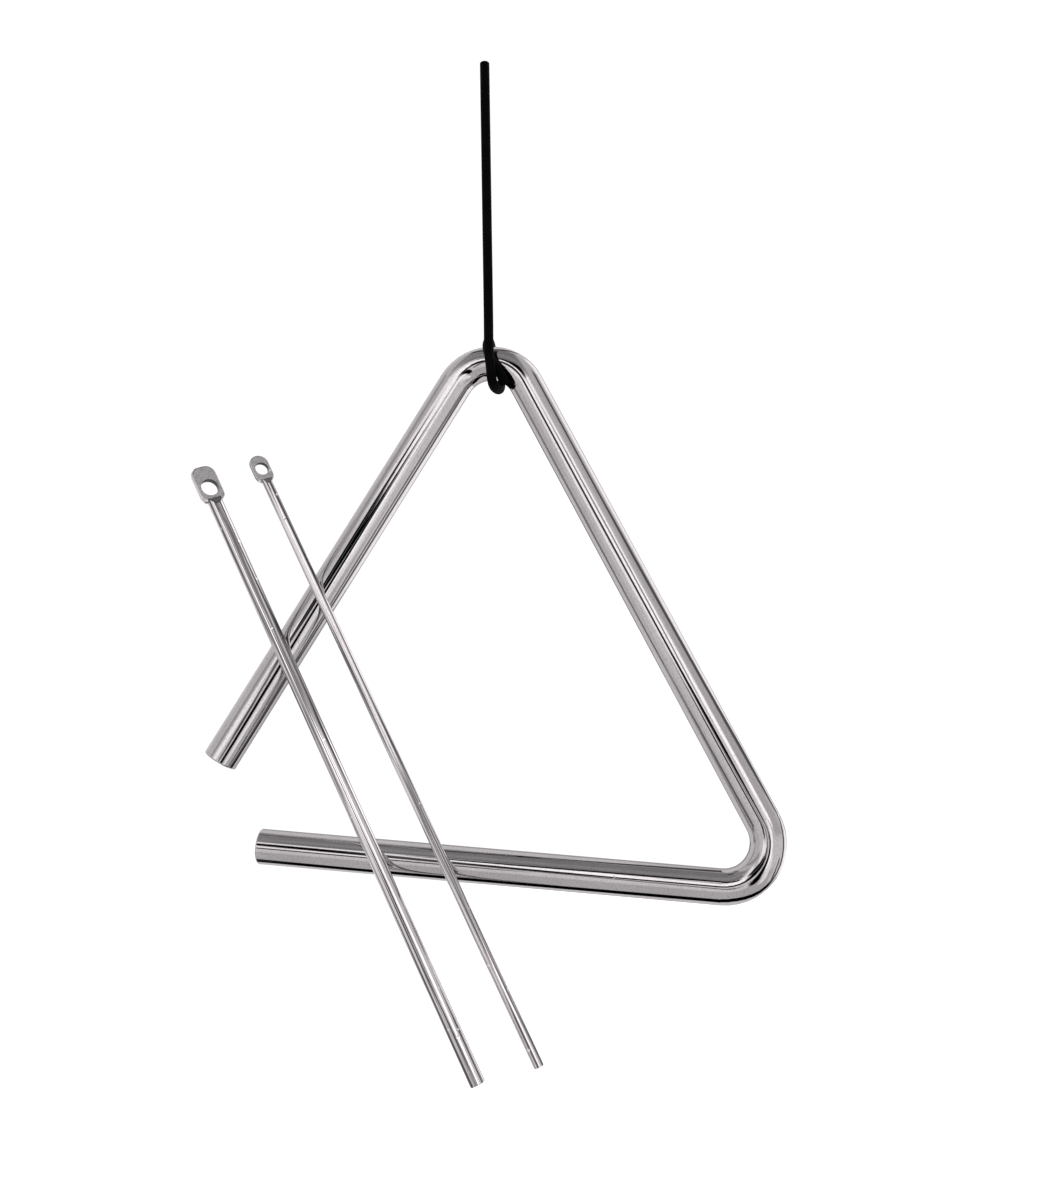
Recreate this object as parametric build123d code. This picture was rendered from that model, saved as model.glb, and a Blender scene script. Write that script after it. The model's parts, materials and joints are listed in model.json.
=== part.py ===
from build123d import *
from math import cos, dist, radians, sin, sqrt
import os

# A triangle hung on a cord, with two beaters lying against its front.
# Millimetres and degrees. The cord's cut top is the origin, +Z is up and -Y faces the player.

# Triangle rod: one round bar with two bends, open at the lower left
rod_diameter = 11.1
bend_radius = 13.5  # to the middle of the bar
left_leg = 168.8  # from the corner where the middle lines would meet at the top, to the cut end
right_side = 206.7  # between the two corners where the middle lines would meet
bottom_leg = 169.5  # from the lower right corner to the cut end
apex_angle = 59.0
corner_angle = 58.3
left_leg_slope = 32.1  # from the vertical, as the triangle hangs
rod_end_round = 0.5

# Cord: a held end, a free stretch and a hitch round the top bend
cord_diameter = 3.1
held_length = 10.0
free_length = 76.5  # from the held end to the middle of the knuckle where the cord starts to bend
seam_round = 0.6  # of the free stretch's top rim, where it turns on the held end
knuckle_rise = 4.0  # of that middle above the rod
knuckle_gap = 0.3
hang_lean = 5.2  # of the triangle, whose foot comes forward under the cord
hitch_clearance = 0.3  # between the cord and the rod
strand_gap = 0.6  # where the hitch crosses itself
tail_length = 1.0

# The hitch goes once round the rod: front, inside, back, top, and in under itself at the front.
# Each place is an angle round the rod from its front, an angle round the bend from the top,
# and a share of the step to the outer layer.
hitch_places_shares = (
    (0.0, 5.5, 1.0),
    (45.0, 17.0, 0.95),
    (95.0, 30.0, 0.2),
    (187.0, 4.0, 0.0),
    (280.0, 0.0, 0.0),
    (370.0, 7.0, 0.0),
    (410.0, 44.0, 0.0),
)
quarter = 90.0

# Large beater: a round shaft with one end pressed flat into an eye
large_shaft_diameter = 4.76
large_length = 213.3
large_eye_width = 8.3
large_eye_length = 13.4
large_eye_thickness = 2.0
large_eye_corner = 3.2
large_eye_edge = 0.7
large_hole_diameter = 5.8
large_hole_from_top = 8.0
large_neck_slope = 2.7  # length of the slope from the shaft to the eye's face
large_tip_round = 0.3
large_roll = 36.0  # of the eye's face, towards +X
large_left_share = 0.7523  # of the left leg, from the top corner, where the beater crosses it
large_bottom_share = 0.765  # of the bottom leg, from the lower right corner
large_overhang = 73.4  # of the tip below the bottom leg's middle line, along the beater

# Small beater
small_shaft_diameter = 3.18
small_length = 211.4
small_eye_width = 6.4
small_eye_length = 10.2
small_eye_thickness = 1.4
small_eye_corner = 3.1
small_eye_edge = 0.5
small_hole_diameter = 4.4
small_hole_from_top = 5.0
small_neck_slope = 2.2
small_tip_round = 0.25
small_roll = 36.0
small_left_share = 0.6247
small_bottom_share = 0.638
small_overhang = 65.7

seat_clearance = 0.3  # between a beater and the legs that it lies against
overrun = 1.0  # of a cut past what it cuts

rod_radius = rod_diameter / 2
cord_radius = cord_diameter / 2


# The triangle's own frame has its origin at the middle of the top bend and the rod in the plane y = 0

def slope(angle):
    """Unit vector in the triangle's plane, turned from straight up towards +X."""
    return Vector(sin(radians(angle)), 0, cos(radians(angle)))


half_turn = 180.0
right_leg_slope = apex_angle - left_leg_slope
bisector_slope = (left_leg_slope - right_leg_slope) / 2
apex = slope(bisector_slope) * (bend_radius / sin(radians(apex_angle / 2)))
to_left_end = slope(half_turn + left_leg_slope)
to_corner = slope(half_turn - right_leg_slope)
to_bottom_end = slope(-right_leg_slope - corner_angle)
left_end = apex + to_left_end * left_leg
corner = apex + to_corner * right_side
bottom_end = corner + to_bottom_end * bottom_leg


def make_rod():
    """Bar bent at the top and at the lower right, with its two cut ends rounded over."""
    middle_line = FilletPolyline(left_end, apex, corner, bottom_end, radius=bend_radius)
    section = Plane(origin=left_end, z_dir=to_left_end * -1) * Circle(rod_radius)
    bar = sweep(section, path=middle_line)
    rims = [
        edge
        for edge in bar.edges().filter_by(GeomType.CIRCLE)
        if min((edge.arc_center - end).length for end in (left_end, bottom_end)) < rod_radius
    ]
    return fillet(rims, rod_end_round)


# Where the hitch lies: its reach is from the rod's middle line to the cord's own

inner_reach = rod_radius + hitch_clearance + cord_radius
layer_step = cord_diameter + strand_gap
outer_reach = inner_reach + layer_step


def hitch_point(around, along, reach):
    """Point at an angle round the rod's section (0 front, 90 inside) and an angle along the bend."""
    from_middle = bend_radius - reach * sin(radians(around))
    out = slope(along) * from_middle
    return Vector(out.X, -reach * cos(radians(around)), out.Z)


def hitch_tangent(around, along, reach, along_rate, reach_rate):
    """Direction of the cord there, for rates in radians and millimetres to a radian round the rod."""
    from_middle = bend_radius - reach * sin(radians(around))
    side = slope(along + quarter) * (from_middle * along_rate)
    outward = slope(along) * -sin(radians(around)) + Vector(0, -cos(radians(around)), 0)
    onward = slope(along) * -cos(radians(around)) + Vector(0, sin(radians(around)), 0)
    return (side + outward * reach_rate + onward * reach).normalized()


def biarc(start, start_tangent, end, end_tangent):
    """Two arcs that leave the start and reach the end along the given directions."""
    chord = end - start
    both = start_tangent + end_tangent
    spread = 2 * (1 - start_tangent.dot(end_tangent))
    along = chord.dot(both)
    reach = (sqrt(along**2 + spread * chord.dot(chord)) - along) / spread
    first = start + start_tangent * reach
    second = end - end_tangent * reach
    middle = (first + second) / 2
    return [
        TangentArc(start, middle, tangent=start_tangent),
        TangentArc(middle, end, tangent=second - first),
    ]


first_front = hitch_point(0, hitch_places_shares[0][1], outer_reach)
knuckle = Vector(first_front.X, first_front.Y, bend_radius + rod_radius + knuckle_rise)


def hitch_path():
    """Straight down from the knuckle, once round the rod, and in under itself to the tail."""
    knots = []
    last = len(hitch_places_shares) - 1
    for index, (around, along, layer_share) in enumerate(hitch_places_shares):
        before = hitch_places_shares[max(index - 1, 0)]
        after = hitch_places_shares[min(index + 1, last)]
        turned, shifted, share_change = (b - a for a, b in zip(before, after))
        reach = inner_reach + layer_share * layer_step
        reach_rate = share_change * layer_step / radians(turned)
        tangent = hitch_tangent(around, along, reach, shifted / turned, reach_rate)
        if index == 0:
            tangent = Vector(0, 0, -1)
        knots.append((hitch_point(around, along, reach), tangent))
    edges = [Line(knuckle, knots[0][0])]
    for (start, start_tangent), (end, end_tangent) in zip(knots, knots[1:]):
        edges += biarc(start, start_tangent, end, end_tangent)
    end, end_tangent = knots[-1]
    edges.append(Line(end, end + end_tangent * tail_length))
    return edges


def print_winding(edges):
    """Print the tightest arc of the winding and the least gap between its turns."""
    radii = [edge.radius for edge in edges if edge.geom_type == GeomType.CIRCLE]
    places = []
    travelled = 0
    samples = 24
    for edge in edges:
        for step in range(samples):
            spot = edge @ (step / samples)
            places.append((travelled + edge.length * step / samples, tuple(spot)))
        travelled += edge.length
    apart = 3 * cord_diameter
    least = min(
        dist(a[1], b[1]) - cord_diameter
        for index, a in enumerate(places)
        for b in places[index + 1 :]
        if b[0] - a[0] > apart
    )
    print("hitch: radii from", round(min(radii), 2), "to", round(max(radii), 2))
    print("hitch: length", round(travelled, 1), "least gap to itself", round(least, 2))
    return travelled


def make_hitch():
    """One unbroken tube round the rod, domed at the knuckle and cut square at the tail."""
    edges = hitch_path()
    length = print_winding(edges)
    section = Plane(origin=knuckle, z_dir=(0, 0, -1)) * Circle(cord_radius)
    tube = sweep(section, path=Wire(edges))
    expected = section.area * length
    print("hitch: volume over section times length", round(tube.volume / expected, 4))
    above = (Align.CENTER, Align.CENTER, Align.MIN)
    dome = Pos(knuckle) * Sphere(cord_radius, arc_size1=0, arc_size2=quarter, align=above)
    return tube + dome


def make_beater(
    shaft_diameter, length, eye_width, eye_length, eye_thickness, eye_corner, eye_edge,
    hole_diameter, hole_from_top, neck_slope, tip_round,
):
    """Beater along +Z from its tip, with its eye's front towards -Y."""
    shaft_radius = shaft_diameter / 2
    eye_bottom = length - eye_length
    eye_middle = length - eye_length / 2
    half_eye = eye_thickness / 2
    half_blank = shaft_radius + overrun
    run_out = neck_slope * (half_blank - half_eye) / (shaft_radius - half_eye)
    slope_top = eye_bottom + eye_corner / 2
    slope_foot = slope_top - run_out
    bar = extrude(Circle(shaft_radius), amount=length - hole_from_top)
    tip = bar.edges().filter_by(GeomType.CIRCLE).sort_by(Axis.Z)[0]
    bar = fillet(tip, tip_round)
    blank = Polyline(
        (0, -half_blank, -overrun),
        (0, half_blank, -overrun),
        (0, half_blank, slope_foot),
        (0, half_eye, slope_top),
        (0, half_eye, length),
        (0, -half_eye, length),
        (0, -half_eye, slope_top),
        (0, -half_blank, slope_foot),
        close=True,
    )
    bar = bar & extrude(make_face(blank), amount=half_blank, dir=(1, 0, 0), both=True)
    outline = Plane.XZ * Pos(0, eye_middle) * RectangleRounded(eye_width, eye_length, eye_corner)
    eye = extrude(outline, amount=half_eye, both=True)
    rims = eye.faces().sort_by(Axis.Y)[0].edges() + eye.faces().sort_by(Axis.Y)[-1].edges()
    eye = fillet(rims, eye_edge)
    hole = Pos(0, 0, length - hole_from_top) * Rot(X=quarter)
    drill = hole * Cylinder(hole_diameter / 2, eye_thickness + 2 * overrun)
    return bar + eye - drill


def seat_beater(beater, shaft_diameter, left_share, bottom_share, overhang, roll):
    """Lay a beater across the fronts of the left and bottom legs."""
    on_left = apex + to_left_end * (left_leg * left_share)
    on_bottom = corner + to_bottom_end * (bottom_leg * bottom_share)
    upward = (on_left - on_bottom).normalized()
    forward = Vector(0, -(rod_radius + seat_clearance + shaft_diameter / 2), 0)
    tip = on_bottom - upward * overhang + forward
    seat = Plane(origin=tip, x_dir=Vector(0, 1, 0).cross(upward), z_dir=upward)
    return seat.location * Rot(Z=roll) * beater


# The cord hangs on the Z axis, and the triangle leans under it from the knuckle

cord_drop = held_length + free_length
hang = Pos(0, 0, -cord_drop) * Rot(X=-hang_lean) * Pos(knuckle * -1)
below = (Align.CENTER, Align.CENTER, Align.MAX)

cord_top_end = Cylinder(cord_radius, held_length, align=below)
hanger_cord = Pos(0, 0, -held_length) * Cylinder(cord_radius, free_length, align=below)
hanger_cord = fillet(hanger_cord.edges().group_by(Axis.Z)[-1], seam_round)
hanger_cord -= Pos(0, 0, -cord_drop) * Sphere(cord_radius + knuckle_gap)

large_beater = seat_beater(
    make_beater(
        large_shaft_diameter, large_length, large_eye_width, large_eye_length, large_eye_thickness,
        large_eye_corner, large_eye_edge, large_hole_diameter, large_hole_from_top,
        large_neck_slope, large_tip_round,
    ),
    large_shaft_diameter, large_left_share, large_bottom_share, large_overhang, large_roll,
)
small_beater = seat_beater(
    make_beater(
        small_shaft_diameter, small_length, small_eye_width, small_eye_length, small_eye_thickness,
        small_eye_corner, small_eye_edge, small_hole_diameter, small_hole_from_top,
        small_neck_slope, small_tip_round,
    ),
    small_shaft_diameter, small_left_share, small_bottom_share, small_overhang, small_roll,
)

nodes = {
    "cord_top_end": cord_top_end,
    "hanger_cord": hanger_cord,
    "cord_hitch": hang * make_hitch(),
    "triangle_rod": hang * make_rod(),
    "large_beater": hang * large_beater,
    "small_beater": hang * small_beater,
}

os.makedirs("parts", exist_ok=True)
for name, shape in nodes.items():
    export_step(shape, f"parts/{name}.step")
print("cord: free stretch and held end are straight,", round(cord_drop, 1), "long")
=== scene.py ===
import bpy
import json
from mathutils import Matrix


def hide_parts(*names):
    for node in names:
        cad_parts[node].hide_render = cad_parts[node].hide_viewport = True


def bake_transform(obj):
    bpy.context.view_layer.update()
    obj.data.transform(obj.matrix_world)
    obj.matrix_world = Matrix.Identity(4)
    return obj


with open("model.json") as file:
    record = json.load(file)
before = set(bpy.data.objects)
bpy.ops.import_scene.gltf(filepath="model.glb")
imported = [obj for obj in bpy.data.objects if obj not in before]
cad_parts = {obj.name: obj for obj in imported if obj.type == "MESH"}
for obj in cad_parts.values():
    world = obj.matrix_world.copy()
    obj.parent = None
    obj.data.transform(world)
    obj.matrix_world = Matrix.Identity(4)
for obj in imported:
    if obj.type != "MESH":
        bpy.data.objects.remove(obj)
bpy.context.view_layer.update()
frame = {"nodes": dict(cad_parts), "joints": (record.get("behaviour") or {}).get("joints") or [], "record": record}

import json
from math import cos, pi, radians, sin

import bmesh
import bpy
import numpy as np
from mathutils import Matrix, Vector

# A triangle hung on a black cord, with two beaters against its front, in a pale studio.
# Metres, in the frame's own axes: +Z up along the cord, -Y towards the camera.

mm = 0.001
joints = {joint["name"]: joint for joint in frame["joints"]}
mounts = {mount["name"]: mount for mount in frame["record"]["mounts"]}

# Camera at the photograph's viewpoint, a little right of the cord and level with the triangle
camera_place = Vector((0.0632, -0.4078, -0.2009))
camera_aim = Vector((0.0116, 0.0, -0.1759))
camera_roll = radians(-0.97)
camera_lens = 39.0

# Triangle
rod_diameter = 11.1 * mm
bend_radius = 13.5 * mm
bend_middle = Vector(joints["triangle_rock"]["pos_m"])
plane_back = Vector(joints["triangle_rock"]["axis"])
plane_right = Vector((1, 0, 0))

# Cord
cord_diameter = 2 * mounts["cord_end"]["dims"]["r_mm"] * mm
knuckle = Vector(joints["triangle_tilt"]["pos_m"])
straight_shares = (0.0, 0.5, 0.78)
hitch_clearance = 0.3 * mm
strand_gap = 0.6 * mm
tail_length = 1.0 * mm
# Places of the hitch: degrees round the rod, degrees round the bend, and share of the step
# from the inner layer to the outer one
hitch_places_shares = (
    (0.0, 5.5, 1.0),
    (45.0, 17.0, 0.95),
    (95.0, 30.0, 0.2),
    (187.0, 4.0, 0.0),
    (280.0, 0.0, 0.0),
    (370.0, 7.0, 0.0),
    (410.0, 44.0, 0.0),
)
points_to_turn = 18
spline_order = 3
spline_steps = 12
cord_sides = 40
cord_end_round = 0.3 * mm
braid_strands = 8
braid_pitch = 14.0 * mm

# Beaters: the tip, the shaft's radius, and how far below the hole the flat face ends
beaters = {
    "large_beater": (Vector((-0.00386, -0.018464, -0.321052)), 2.38 * mm, 3.8 * mm),
    "small_beater": (Vector((0.014434, -0.017204, -0.31592)), 1.59 * mm, 3.65 * mm),
}
# Where a beater's look changes, from none of it to all: past the bore's wall, under the eye's
# faces, under the shaft's surface, and below the hole for the foot of the neck
# past_bore bounds the painted shade on the bore's wall, and under_shaft and neck_foot bound the painted shade in
# the neck
past_bore = (0.1 * mm, 0.02 * mm)
under_face = (0.25 * mm, 0.1 * mm)
under_shaft = (0.05 * mm, 0.25 * mm)
neck_foot = (20.0 * mm, 15.0 * mm)
# The same above and below the end of the flat face, which is the head of the neck
neck_head = 0.3 * mm
# Share of the length left out of the streaks' noise, which draws it out along the shaft
streak_draw_share = 0.985

# Studio
studio_middle = Vector((0.0, 0.0, -0.19))
tent_radius = 3.0
tent_segments = 240
tent_rings = 160
tent_tint = (1.0, 0.955, 0.965, 1.0)
floor_drop = 3.4
floor_size = 40.0
floor_grey = 0.9
floor_roughness = 0.9
floor_glow = 0.4
world_level = 1.05

# The tent is laid out as seen from the object, in degrees from straight ahead: right and up.
# Brightness by angle from straight ahead
wall_levels = (
    (0.0, 0.9),
    (30.0, 0.88),
    (60.0, 0.69),
    (100.0, 0.7),
    (112.0, 0.84),
    (138.0, 0.8),
    (152.0, 0.4),
    (180.0, 0.6),
)
# Cards: name, left, right, foot, head, brightness and softness
cards = (
    ("ceiling", -38, 26, 44, 103, 0.36, 8.0),
    ("ceiling panel", -21, 22, 64, 101, 0.28, 8.0),
    ("ceiling edge", -20, 14, 35, 47, 0.26, 5.0),
    ("left wall", -99, -48, 2, 62, 0.72, 8.0),
    ("right wall", 45, 88, 6, 63, 0.62, 8.0),
    ("low right wall", 42, 100, -62, 6, 0.86, 8.0),
    ("table", -50, 60, -83, -26, 0.62, 8.0),
    ("left table", -55, -30, -19, 10, 0.82, 8.0),
)
# The joints of the two longest bands
floor_gap = ((-44, -86), (-34, -97), (-12, -94), (14, -84), (37, -88), (60, -91), (76, -82))
right_edge = (
    (57, 67), (65, 55), (88, 51), (122, 46), (112, 10), (105, -25), (99, -50), (86, -73)
)
# Bands along jointed lines: half their width, brightness, softness, and their joints.
# Each is laid over those before it.
bands = (
    # Lamps
    (18.0, 1.4, 8.0, ((62, 110), (105, 82), (128, 42), (130, 0), (126, -40), (120, -78))),
    (5.0, 1.6, 3.0, ((25, 8), (22, 0), (22, -8))),
    (6.0, 1.2, 4.0, ((32, -12), (36, -24), (39, -36))),
    (5.5, 1.5, 3.0, ((8, 34), (20, 30))),
    (6.0, 1.65, 3.0, ((25, 23), (40, 19))),
    (6.0, 1.6, 3.0, ((-6, 28), (-3, 19), (4, 15))),
    (5.0, 1.4, 4.0, ((-27, 14), (-29, 5))),
    (3.0, 1.4, 3.0, ((-25, 6), (-15, 4))),
    (4.5, 1.3, 4.0, ((-32, 33), (-14, 28))),
    (3.0, 1.6, 3.0, ((-30, -42), (-34, -58))),
    # A grey pole
    (3.0, 0.3, 2.0, ((7, 27), (12, 24), (14, 19))),
    # Dark gaps along the edges of the floor, the walls and the ceiling
    (14.0, 0.0, 2.5, floor_gap),
    (4.5, 0.12, 2.5, ((80, -30), (76, -42), (76, -55), (80, -76))),
    (7.0, 0.12, 2.5, right_edge),
    (4.5, 0.15, 2.5, ((-100, -8), (-95, -25), (-82, -34), (-57, -35))),
    (5.0, 0.15, 2.5, ((-44, -86), (-62, -72), (-76, -52), (-82, -34))),
    (6.0, 0.08, 2.5, ((23, 125), (7, 107), (-13, 89), (-32, 93))),
    # A grey screen
    (6.5, 0.46, 3.0, ((-63, 57), (-57, 41), (-48, 22))),
    # Dark poles in front
    (5.5, 0.0, 2.0, ((-18, 21), (-14, 14), (-9, 10))),
    (4.2, 0.0, 2.0, ((-9, 10), (-3, 7), (6, 7))),
    (4.5, 0.0, 2.0, ((11, 0), (13, -6), (21, -23))),
    (1.8, 0.1, 2.0, ((-13, 20), (-11, 8), (-4, -1), (5, -10))),
    (4.0, 0.0, 2.0, ((6, 38), (-1, 33), (-7, 30))),
    (2.8, 0.0, 2.0, ((-11, -6), (-21, -3))),
    # Dark strips behind
    (5.0, 0.05, 4.0, ((-150, -70), (-150, 70))),
    (5.0, 0.05, 4.0, ((156, -60), (156, 60))),
)
# Farther than any place is from a line, and the least sine that is divided by
far_off = 1e3
least_sine = 1e-6


def link(obj):
    """The object, put into the scene."""
    bpy.context.scene.collection.objects.link(obj)
    return obj


def mesh_object(name, mesh):
    """Object with a finished mesh, in the scene."""
    data = bpy.data.meshes.new(name)
    mesh.to_mesh(data)
    mesh.free()
    return link(bpy.data.objects.new(name, data))


def grey(level, warm=0.0):
    """Grey of a level, with a little more red and blue where it is warm."""
    return (level * (1 + warm), level, level * (1 + warm / 3), 1.0)


class Shader:
    """Node tree of one material, with short calls for the nodes used here."""

    def __init__(self, name):
        self.material = bpy.data.materials.new(name)
        self.material.use_nodes = True
        self.nodes = self.material.node_tree.nodes
        self.links = self.material.node_tree.links
        self.surface = self.nodes["Principled BSDF"]

    def put(self, socket, value):
        """Link or constant value on a socket."""
        if isinstance(value, bpy.types.NodeSocket):
            self.links.new(value, socket)
        else:
            socket.default_value = value

    def add(self, kind, values, **settings):
        """Node of a kind, with values on its sockets."""
        made = self.nodes.new(kind)
        for key, value in settings.items():
            setattr(made, key, value)
        for key, value in values.items():
            self.put(made.inputs[key], value)
        return made

    def complete(self, values):
        """The material, with values on the sockets of its surface."""
        for key, value in values.items():
            self.put(self.surface.inputs[key], value)
        return self.material

    def place(self):
        """Place on the object, in metres."""
        return self.nodes.new("ShaderNodeTexCoord").outputs["Object"]

    def math(self, operation, a, b=0.0):
        made = self.add("ShaderNodeMath", {0: a, 1: b}, operation=operation)
        return made.outputs["Value"]

    def vector(self, operation, a, b, output="Vector"):
        made = self.add("ShaderNodeVectorMath", {0: a, 1: b}, operation=operation)
        return made.outputs[output]

    def scaled(self, way, scale):
        made = self.add("ShaderNodeVectorMath", {0: way, "Scale": scale}, operation="SCALE")
        return made.outputs["Vector"]

    def off_axis(self, place, way):
        """Distance from the line through the origin that runs one way."""
        across = self.vector("CROSS_PRODUCT", place, way)
        return self.vector("LENGTH", across, (0, 0, 0), "Value")

    def noise(self, place, cells, detail=2.0, roughness=0.5):
        """Noise with a number of cells to the metre."""
        values = {"Vector": place, "Scale": cells, "Detail": detail, "Roughness": roughness}
        return self.add("ShaderNodeTexNoise", values).outputs["Fac"]

    def ramp(self, value, low, high, start=0.0, end=1.0):
        """Smooth step from start to end as the value goes from low to high."""
        values = {"Value": value, "From Min": low, "From Max": high, "To Min": start, "To Max": end}
        made = self.add("ShaderNodeMapRange", values, interpolation_type="SMOOTHSTEP")
        return made.outputs["Result"]

    def blend(self, factor, start, end):
        """Colour between two, by a factor."""
        made = self.nodes.new("ShaderNodeMix")
        made.data_type = "RGBA"
        colours = [socket for socket in made.inputs if socket.type == "RGBA"]
        self.put(made.inputs["Factor"], factor)
        self.put(colours[0], start)
        self.put(colours[1], end)
        return next(socket for socket in made.outputs if socket.type == "RGBA")

    def bump(self, height, depth, below=None):
        """Normal with a height field of a depth, over another one if it is given."""
        values = {"Height": height, "Distance": depth}
        if below:
            values["Normal"] = below
        return self.add("ShaderNodeBump", values).outputs["Normal"]

    def pits(self, place, cells, share, size):
        """1 in small pits, one in each of a share of the cells."""
        near = self.add("ShaderNodeTexVoronoi", {"Vector": place, "Scale": cells}).outputs
        lot = self.add("ShaderNodeSeparateColor", {"Color": near["Color"]}).outputs["Red"]
        chosen = self.math("GREATER_THAN", lot, 1 - share)
        return self.math("MULTIPLY", chosen, self.ramp(near["Distance"], size, size / 3))


# Materials


def chrome_material():
    """Polished plate with smears, fine pitting, a slow waviness and a few nicks."""
    clean, smeared = grey(0.62, warm=0.01), grey(0.57, warm=0.015)
    pitted, nicked = grey(0.4, warm=0.02), grey(0.45)
    wave_depth, grain_depth, nick_depth = 0.02 * mm, 0.0006 * mm, 0.03 * mm

    made = Shader("chrome")
    place = made.place()
    smears = made.noise(place, cells=60.0, detail=5.0, roughness=0.6)
    grain = made.noise(place, cells=2600.0, detail=3.0, roughness=0.6)
    waves = made.noise(place, cells=150.0, detail=1.0)
    nicks = made.pits(place, cells=240.0, share=0.12, size=0.1)

    colour = made.blend(made.ramp(smears, low=0.35, high=0.7), clean, smeared)
    colour = made.blend(made.ramp(grain, low=0.46, high=0.74), colour, pitted)
    colour = made.blend(nicks, colour, nicked)
    fog = made.ramp(smears, low=0.4, high=0.75, start=0.02, end=0.06)
    speckle = made.ramp(grain, low=0.45, high=0.8, start=0.0, end=0.05)
    normal = made.bump(waves, wave_depth)
    normal = made.bump(grain, grain_depth, normal)
    normal = made.bump(nicks, -nick_depth, normal)
    return made.complete({
        "Base Color": colour,
        "Metallic": 1.0,
        "Roughness": made.math("ADD", fog, speckle),
        "Normal": normal,
    })


def steel_material(name, tip, radius, face_drop):
    """Bright plated bar with drawn streaks, matt where pressed flat, painted shade in neck and hole, painted
    glints in nicks.
    """
    clean, smeared = grey(0.86, warm=0.01), grey(0.76, warm=0.02)
    pitted, streaked = grey(0.6, warm=0.02), grey(0.12, warm=0.02)
    pale_matt, dark_matt = grey(0.56), grey(0.42)
    # The neck and bore colours are painted shade and the nick colour is a painted glint, brighter than the bar
    neck_painted_shade, nicked, bore_painted_shade = grey(0.36, warm=0.03), grey(0.95), grey(0.06)
    flat_dullness, neck_dullness = 0.34, 0.3
    wave_depth, grain_depth, nick_depth = 0.02 * mm, 0.0006 * mm, 0.05 * mm
    flat_grain_depth = 0.008 * mm

    eye = mounts[name + "_eye"]
    bore = eye["dims"]["r_mm"] * mm
    half_eye = eye["dims"]["length_mm"] / 2 * mm
    hole = Vector(eye["pos_m"])
    shaft_way, eye_way = tuple((hole - tip).normalized()), tuple(eye["axis"])

    # Where the hole, the flat faces and the neck are
    made = Shader(name)
    place = made.place()
    from_hole = made.vector("SUBTRACT", place, tuple(hole))
    height = made.vector("DOT_PRODUCT", from_hole, shaft_way, "Value")
    depth = made.math("ABSOLUTE", made.vector("DOT_PRODUCT", from_hole, eye_way, "Value"))
    off_shaft = made.off_axis(from_hole, shaft_way)
    off_hole = made.off_axis(from_hole, eye_way)
    bore_shade_mask = made.ramp(off_hole, bore + past_bore[0], bore + past_bore[1])
    above_neck = made.ramp(height, -face_drop - neck_head, -face_drop + neck_head)
    on_face = made.ramp(depth, half_eye - under_face[0], half_eye - under_face[1])
    flat = made.math("MULTIPLY", above_neck, on_face)
    # Mask of the neck, where shade is painted into the colour and the finish is duller
    pressed = made.ramp(off_shaft, radius - under_shaft[0], radius - under_shaft[1])
    neck = made.math("MULTIPLY", pressed, made.math("SUBTRACT", 1.0, above_neck))
    neck = made.math("MULTIPLY", neck, made.ramp(height, -neck_foot[0], -neck_foot[1]))

    smears = made.noise(place, cells=90.0, detail=5.0, roughness=0.6)
    grain = made.noise(place, cells=3000.0, detail=3.0, roughness=0.6)
    mottle = made.noise(place, cells=1300.0, detail=3.0)
    waves = made.noise(place, cells=230.0, detail=1.0)
    nicks = made.pits(place, cells=330.0, share=0.32, size=0.2)
    along = made.scaled(shaft_way, height)
    left_out = made.vector("MULTIPLY", along, (streak_draw_share,) * 3)
    drawn = made.vector("SUBTRACT", from_hole, left_out)
    streaks = made.noise(drawn, cells=1100.0, detail=2.0)

    bright = made.blend(made.ramp(smears, low=0.35, high=0.7), clean, smeared)
    bright = made.blend(made.ramp(grain, low=0.5, high=0.8), bright, pitted)
    lines = made.ramp(streaks, low=0.46, high=0.6, start=0.0, end=0.94)
    bright = made.blend(lines, bright, streaked)
    matt = made.blend(made.ramp(mottle, low=0.35, high=0.7), pale_matt, dark_matt)
    colour = made.blend(flat, bright, matt)
    # Painted shade: the neck's crease below the flat faces made darker
    colour = made.blend(neck, colour, neck_painted_shade)
    # The nicks are real dents, and their colour, brighter than the bar, is a painted glint
    colour = made.blend(nicks, colour, nicked)
    # Painted shade: the bore's wall made nearly black, standing in for the shadow inside the hole
    colour = made.blend(bore_shade_mask, colour, bore_painted_shade)
    polish = made.ramp(smears, low=0.4, high=0.75, start=0.03, end=0.08)
    flat_dull = made.math("MULTIPLY", flat, flat_dullness)
    neck_dull = made.math("MULTIPLY", neck, neck_dullness)
    dull = made.math("ADD", flat_dull, neck_dull)
    relief = made.math("ADD", made.math("MULTIPLY", flat, flat_grain_depth), grain_depth)
    normal = made.bump(waves, wave_depth)
    normal = made.bump(grain, relief, normal)
    normal = made.bump(nicks, -nick_depth, normal)
    return made.complete({
        "Base Color": colour,
        "Metallic": 1.0,
        "Roughness": made.math("ADD", polish, dull),
        "Normal": normal,
    })


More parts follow.
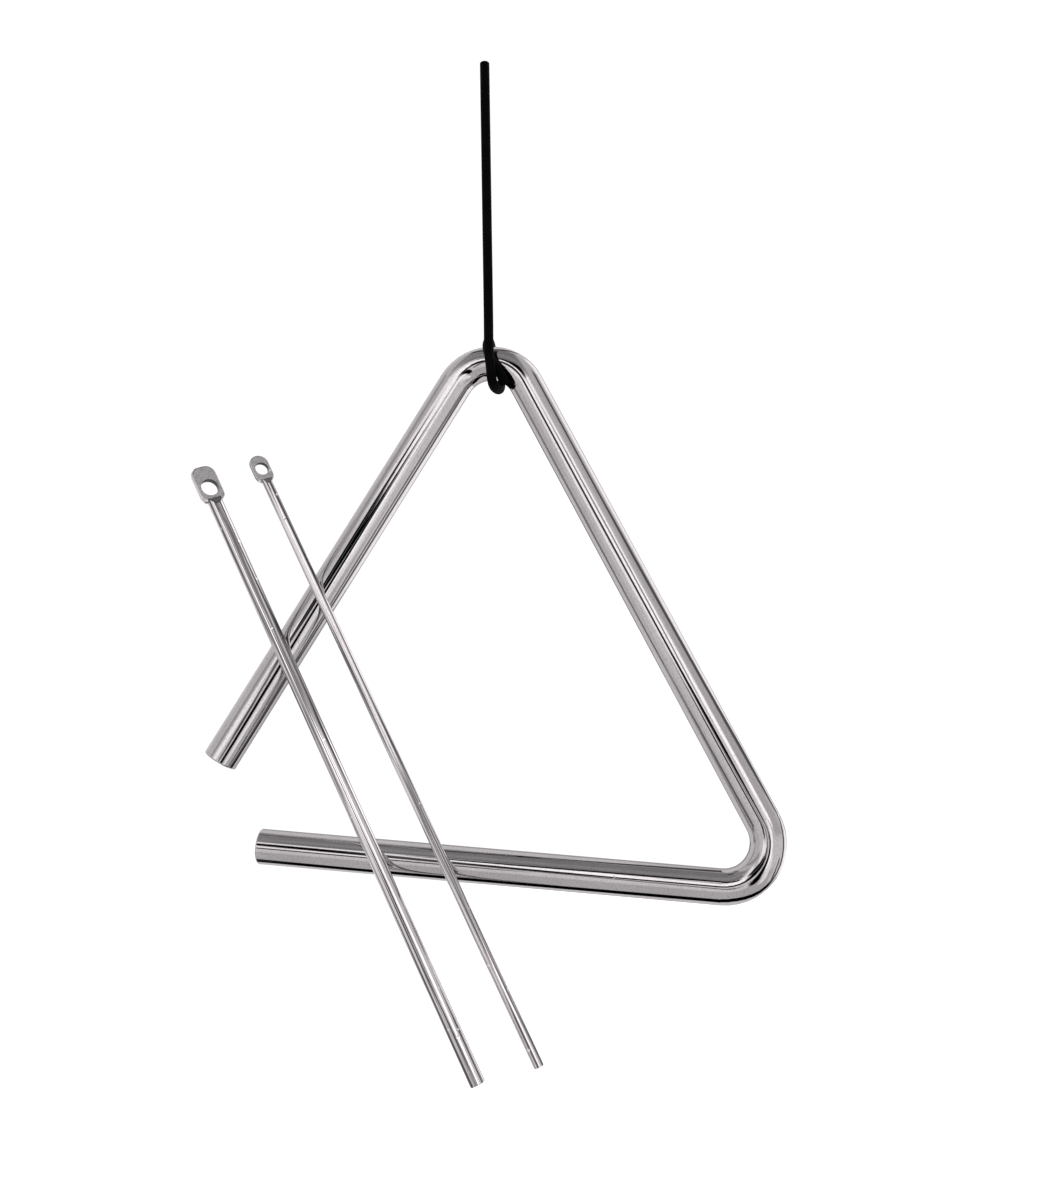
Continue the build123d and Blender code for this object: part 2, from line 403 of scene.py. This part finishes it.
def cord_material():
    """Black braid, a little waxy on the high strands, with painted shade in the grooves between them."""
    # The groove colour is painted shade, darker than the strands' own black
    groove_painted_shade, high_black, worn_black = grey(0.0006), grey(0.0012), grey(0.0022)
    thread_depth, braid_depth = 0.02 * mm, 0.1 * mm
    turn_rate, run_rate = 2 * pi * braid_strands, 2 * pi * braid_strands / braid_pitch

    made = Shader("cord")
    place = made.place()
    unwrapped = made.nodes.new("ShaderNodeUVMap").outputs["UV"]
    wrap = made.add("ShaderNodeSeparateXYZ", {"Vector": unwrapped}).outputs
    turn = made.math("MULTIPLY", wrap["X"], turn_rate)
    run = made.math("MULTIPLY", wrap["Y"], run_rate)
    over = made.math("SINE", made.math("ADD", turn, run))
    under = made.math("SINE", made.math("SUBTRACT", turn, run))
    braid = made.ramp(made.math("MAXIMUM", over, under), low=-0.6, high=1.0)
    fuzz = made.noise(place, cells=7000.0, detail=3.0)
    wear = made.noise(place, cells=160.0, detail=3.0)

    black = made.blend(made.ramp(wear, low=0.4, high=0.7), high_black, worn_black)
    normal = made.bump(fuzz, thread_depth)
    normal = made.bump(braid, braid_depth, normal)
    return made.complete({
        "Base Color": made.blend(braid, groove_painted_shade, black),
        "Roughness": made.ramp(braid, low=0.0, high=1.0, start=0.8, end=0.5),
        "Specular IOR Level": 0.03,
        "Normal": normal,
    })


# Cord

bend_axes = Matrix((plane_right, plane_back, plane_right.cross(plane_back))).transposed()


def from_bend(point):
    """Place in the frame of a point given from the middle of the top bend."""
    return bend_middle + bend_axes @ point


def hitch_point(around, along, reach):
    """Point at an angle round the rod's section (0 front, 90 inside) and one along the bend."""
    around, along = radians(around), radians(along)
    out = bend_radius - reach * sin(around)
    return Vector((out * sin(along), -reach * cos(around), out * cos(along)))


def smooth_between(places, column, x):
    """Value of a column at x, the first column, on a smooth line through the listed places."""
    last = len(places) - 1
    index = max(i for i in range(last) if places[i][0] <= x or i == 0)
    start, end = places[index], places[index + 1]
    step = end[0] - start[0]
    t = (x - start[0]) / step

    def rate(i):
        before, after = places[max(i - 1, 0)], places[min(i + 1, last)]
        return (after[column] - before[column]) / (after[0] - before[0]) * step

    return (
        start[column] * (1 + 2 * t) * (1 - t) ** 2
        + rate(index) * t * (1 - t) ** 2
        + end[column] * t * t * (3 - 2 * t)
        - rate(index + 1) * t * t * (1 - t)
    )


def cord_route():
    """Control points from the cut top, down to the knuckle, round the rod and out to the tail."""
    points = [knuckle * share for share in straight_shares] + [knuckle]
    inner_reach = rod_diameter / 2 + hitch_clearance + cord_diameter / 2
    layer_step = cord_diameter + strand_gap
    turned = hitch_places_shares[-1][0]
    steps = round(points_to_turn * turned / 360)
    for step in range(steps + 1):
        around = turned * step / steps
        along = smooth_between(hitch_places_shares, 1, around)
        reach = inner_reach + smooth_between(hitch_places_shares, 2, around) * layer_step
        points.append(from_bend(hitch_point(around, along, reach)))
    points.append(points[-1] + (points[-1] - points[-2]).normalized() * tail_length)
    return points


def spline_points(points):
    """Points along the smooth line that has the given control points."""
    curve = bpy.data.curves.new("cord_line", "CURVE")
    curve.dimensions = "3D"
    spline = curve.splines.new("NURBS")
    spline.points.add(len(points) - 1)
    for spot, point in zip(spline.points, points):
        spot.co = (*point, 1.0)
    spline.order_u = spline_order
    spline.use_endpoint_u = True
    spline.resolution_u = spline_steps
    line = bpy.data.objects.new("cord_line", curve)
    mesh = bpy.data.meshes.new_from_object(line)
    found = [vertex.co.copy() for vertex in mesh.vertices]
    bpy.data.objects.remove(line)
    bpy.data.meshes.remove(mesh)
    bpy.data.curves.remove(curve)
    return found


def tube_mesh(name, path, radius, sides, end_round):
    """Round tube along a path, closed at both ends with rounded rims, and unwrapped."""
    mesh = bmesh.new()
    wrap = mesh.loops.layers.uv.new("wrap")
    last = len(path) - 1
    spans = [(path[max(i - 1, 0)], path[min(i + 1, last)]) for i in range(last + 1)]
    tangents = [(after - before).normalized() for before, after in spans]
    stations = [
        (path[0], tangents[0], radius - end_round),
        (path[0] + tangents[0] * end_round, tangents[0], radius),
        *((path[i], tangents[i], radius) for i in range(1, last)),
        (path[last] - tangents[last] * end_round, tangents[last], radius),
        (path[last], tangents[last], radius - end_round),
    ]
    side = tangents[0].orthogonal().normalized()
    rings, runs, run = [], [], 0.0
    for index, (place, tangent, reach) in enumerate(stations):
        side = (side - tangent * side.dot(tangent)).normalized()
        other = tangent.cross(side)
        run += (place - stations[max(index - 1, 0)][0]).length
        runs.append(run)
        angles = [2 * pi * step / sides for step in range(sides)]
        spokes = [(side * cos(angle) + other * sin(angle)) * reach for angle in angles]
        rings.append([mesh.verts.new(place + spoke) for spoke in spokes])
    for index in range(len(rings) - 1):
        ring, after = rings[index], rings[index + 1]
        for step in range(sides):
            following = (step + 1) % sides
            face = mesh.faces.new((ring[step], ring[following], after[following], after[step]))
            face.smooth = True
            turns = (step, step + 1, step + 1, step)
            lengths = (runs[index], runs[index], runs[index + 1], runs[index + 1])
            for corner, turn, length in zip(face.loops, turns, lengths):
                corner[wrap].uv = (turn / sides, length)
    mesh.faces.new(list(reversed(rings[0])))
    mesh.faces.new(rings[-1])
    bmesh.ops.recalc_face_normals(mesh, faces=mesh.faces)
    return mesh_object(name, mesh)


def make_cord():
    """One unbroken cord, which bends at the knuckle."""
    path = spline_points(cord_route())
    cord = tube_mesh("hanging_cord", path, cord_diameter / 2, cord_sides, cord_end_round)
    cord.data.materials.append(cord_material())
    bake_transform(cord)
    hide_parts("cord_top_end", "hanger_cord", "cord_hitch")


# Studio


def between(table, x):
    """Values at places x on straight lines through a table."""
    return np.interp(x, [row[0] for row in table], [row[1] for row in table])


def off_line(x, y, line):
    """Least distances from places to a jointed line."""
    least = np.full_like(x, far_off)
    for (x0, y0), (x1, y1) in zip(line, line[1:]):
        dx, dy = x1 - x0, y1 - y0
        share = np.clip(((x - x0) * dx + (y - y0) * dy) / (dx * dx + dy * dy), 0, 1)
        least = np.minimum(least, np.hypot(x - x0 - share * dx, y - y0 - share * dy))
    return least


def laid_over(level, value, inside, soft):
    """Levels with a soft-edged shape laid over them, by how far inside it each place is."""
    return level + (value - level) * np.clip(0.5 + inside / soft, 0, 1)


def tent_levels(ways):
    """Brightness of the tent in each direction from the object."""
    turn = np.degrees(np.arccos(np.clip(-ways[:, 1], -1, 1)))
    spread = turn / np.maximum(np.hypot(ways[:, 0], ways[:, 2]), least_sine)
    x, y = ways[:, 0] * spread, ways[:, 2] * spread
    level = between(wall_levels, turn)
    for _, left, right, foot, head, value, soft in cards:
        inside = np.minimum(np.minimum(x - left, right - x), np.minimum(y - foot, head - y))
        level = laid_over(level, value, inside, soft)
    for half_width, value, soft, line in bands:
        level = laid_over(level, value, half_width - off_line(x, y, line), soft)
    return level


def make_tent():
    """Round tent with lamps, cards and gaps, seen only in reflections."""
    mesh = bmesh.new()
    bmesh.ops.create_uvsphere(mesh, u_segments=tent_segments, v_segments=tent_rings, radius=1.0)
    bmesh.ops.rotate(mesh, verts=mesh.verts, matrix=Matrix.Rotation(pi / 2, 3, "X"))
    tent = mesh_object("tent", mesh)
    ways = np.array([vertex.co for vertex in tent.data.vertices])
    levels = tent.data.attributes.new("level", "FLOAT", "POINT")
    levels.data.foreach_set("value", tent_levels(ways))
    tent.location = studio_middle
    tent.scale = (tent_radius,) * 3
    made = Shader("tent")
    level = made.add("ShaderNodeAttribute", {}, attribute_name="level").outputs["Fac"]
    glow = made.add("ShaderNodeEmission", {"Color": tent_tint, "Strength": level})
    made.put(made.nodes["Material Output"].inputs["Surface"], glow.outputs["Emission"])
    made.nodes.remove(made.surface)
    made.material.cycles.emission_sampling = "NONE"
    tent.data.materials.append(made.material)
    tent.visible_camera = False
    tent.visible_diffuse = False
    tent.visible_shadow = False


def make_floor():
    """Plain pale floor, well below the object."""
    mesh = bmesh.new()
    bmesh.ops.create_grid(mesh, x_segments=1, y_segments=1, size=floor_size / 2)
    floor = mesh_object("floor", mesh)
    floor.location = (0, 0, -floor_drop)
    material = Shader("floor").complete({
        "Base Color": grey(floor_grey),
        "Roughness": floor_roughness,
        "Emission Color": grey(1.0),
        "Emission Strength": floor_glow,
    })
    floor.data.materials.append(material)


def make_world():
    """White light from all round."""
    world = bpy.data.worlds.new("studio")
    world.use_nodes = True
    background = world.node_tree.nodes["Background"]
    background.inputs["Color"].default_value = grey(1.0)
    background.inputs["Strength"].default_value = world_level
    bpy.context.scene.world = world


def make_camera():
    """Camera at its place, aimed and rolled."""
    data = bpy.data.cameras.new("camera")
    data.lens = camera_lens
    camera = link(bpy.data.objects.new("camera", data))
    view = (camera_aim - camera_place).to_track_quat("-Z", "Y").to_matrix()
    turn = view @ Matrix.Rotation(camera_roll, 3, "Z")
    camera.matrix_world = Matrix.Translation(camera_place) @ turn.to_4x4()
    bpy.context.scene.camera = camera


def finish_node(name, material):
    """New material on a node that keeps its own shape."""
    node = frame["nodes"][name]
    node.data.materials.clear()
    node.data.materials.append(material)


bpy.context.scene.view_settings.view_transform = "Standard"
make_camera()
make_cord()
finish_node("triangle_rod", chrome_material())
for name, (tip, radius, face_drop) in beaters.items():
    finish_node(name, steel_material(name, tip, radius, face_drop))
make_tent()
make_floor()
make_world()
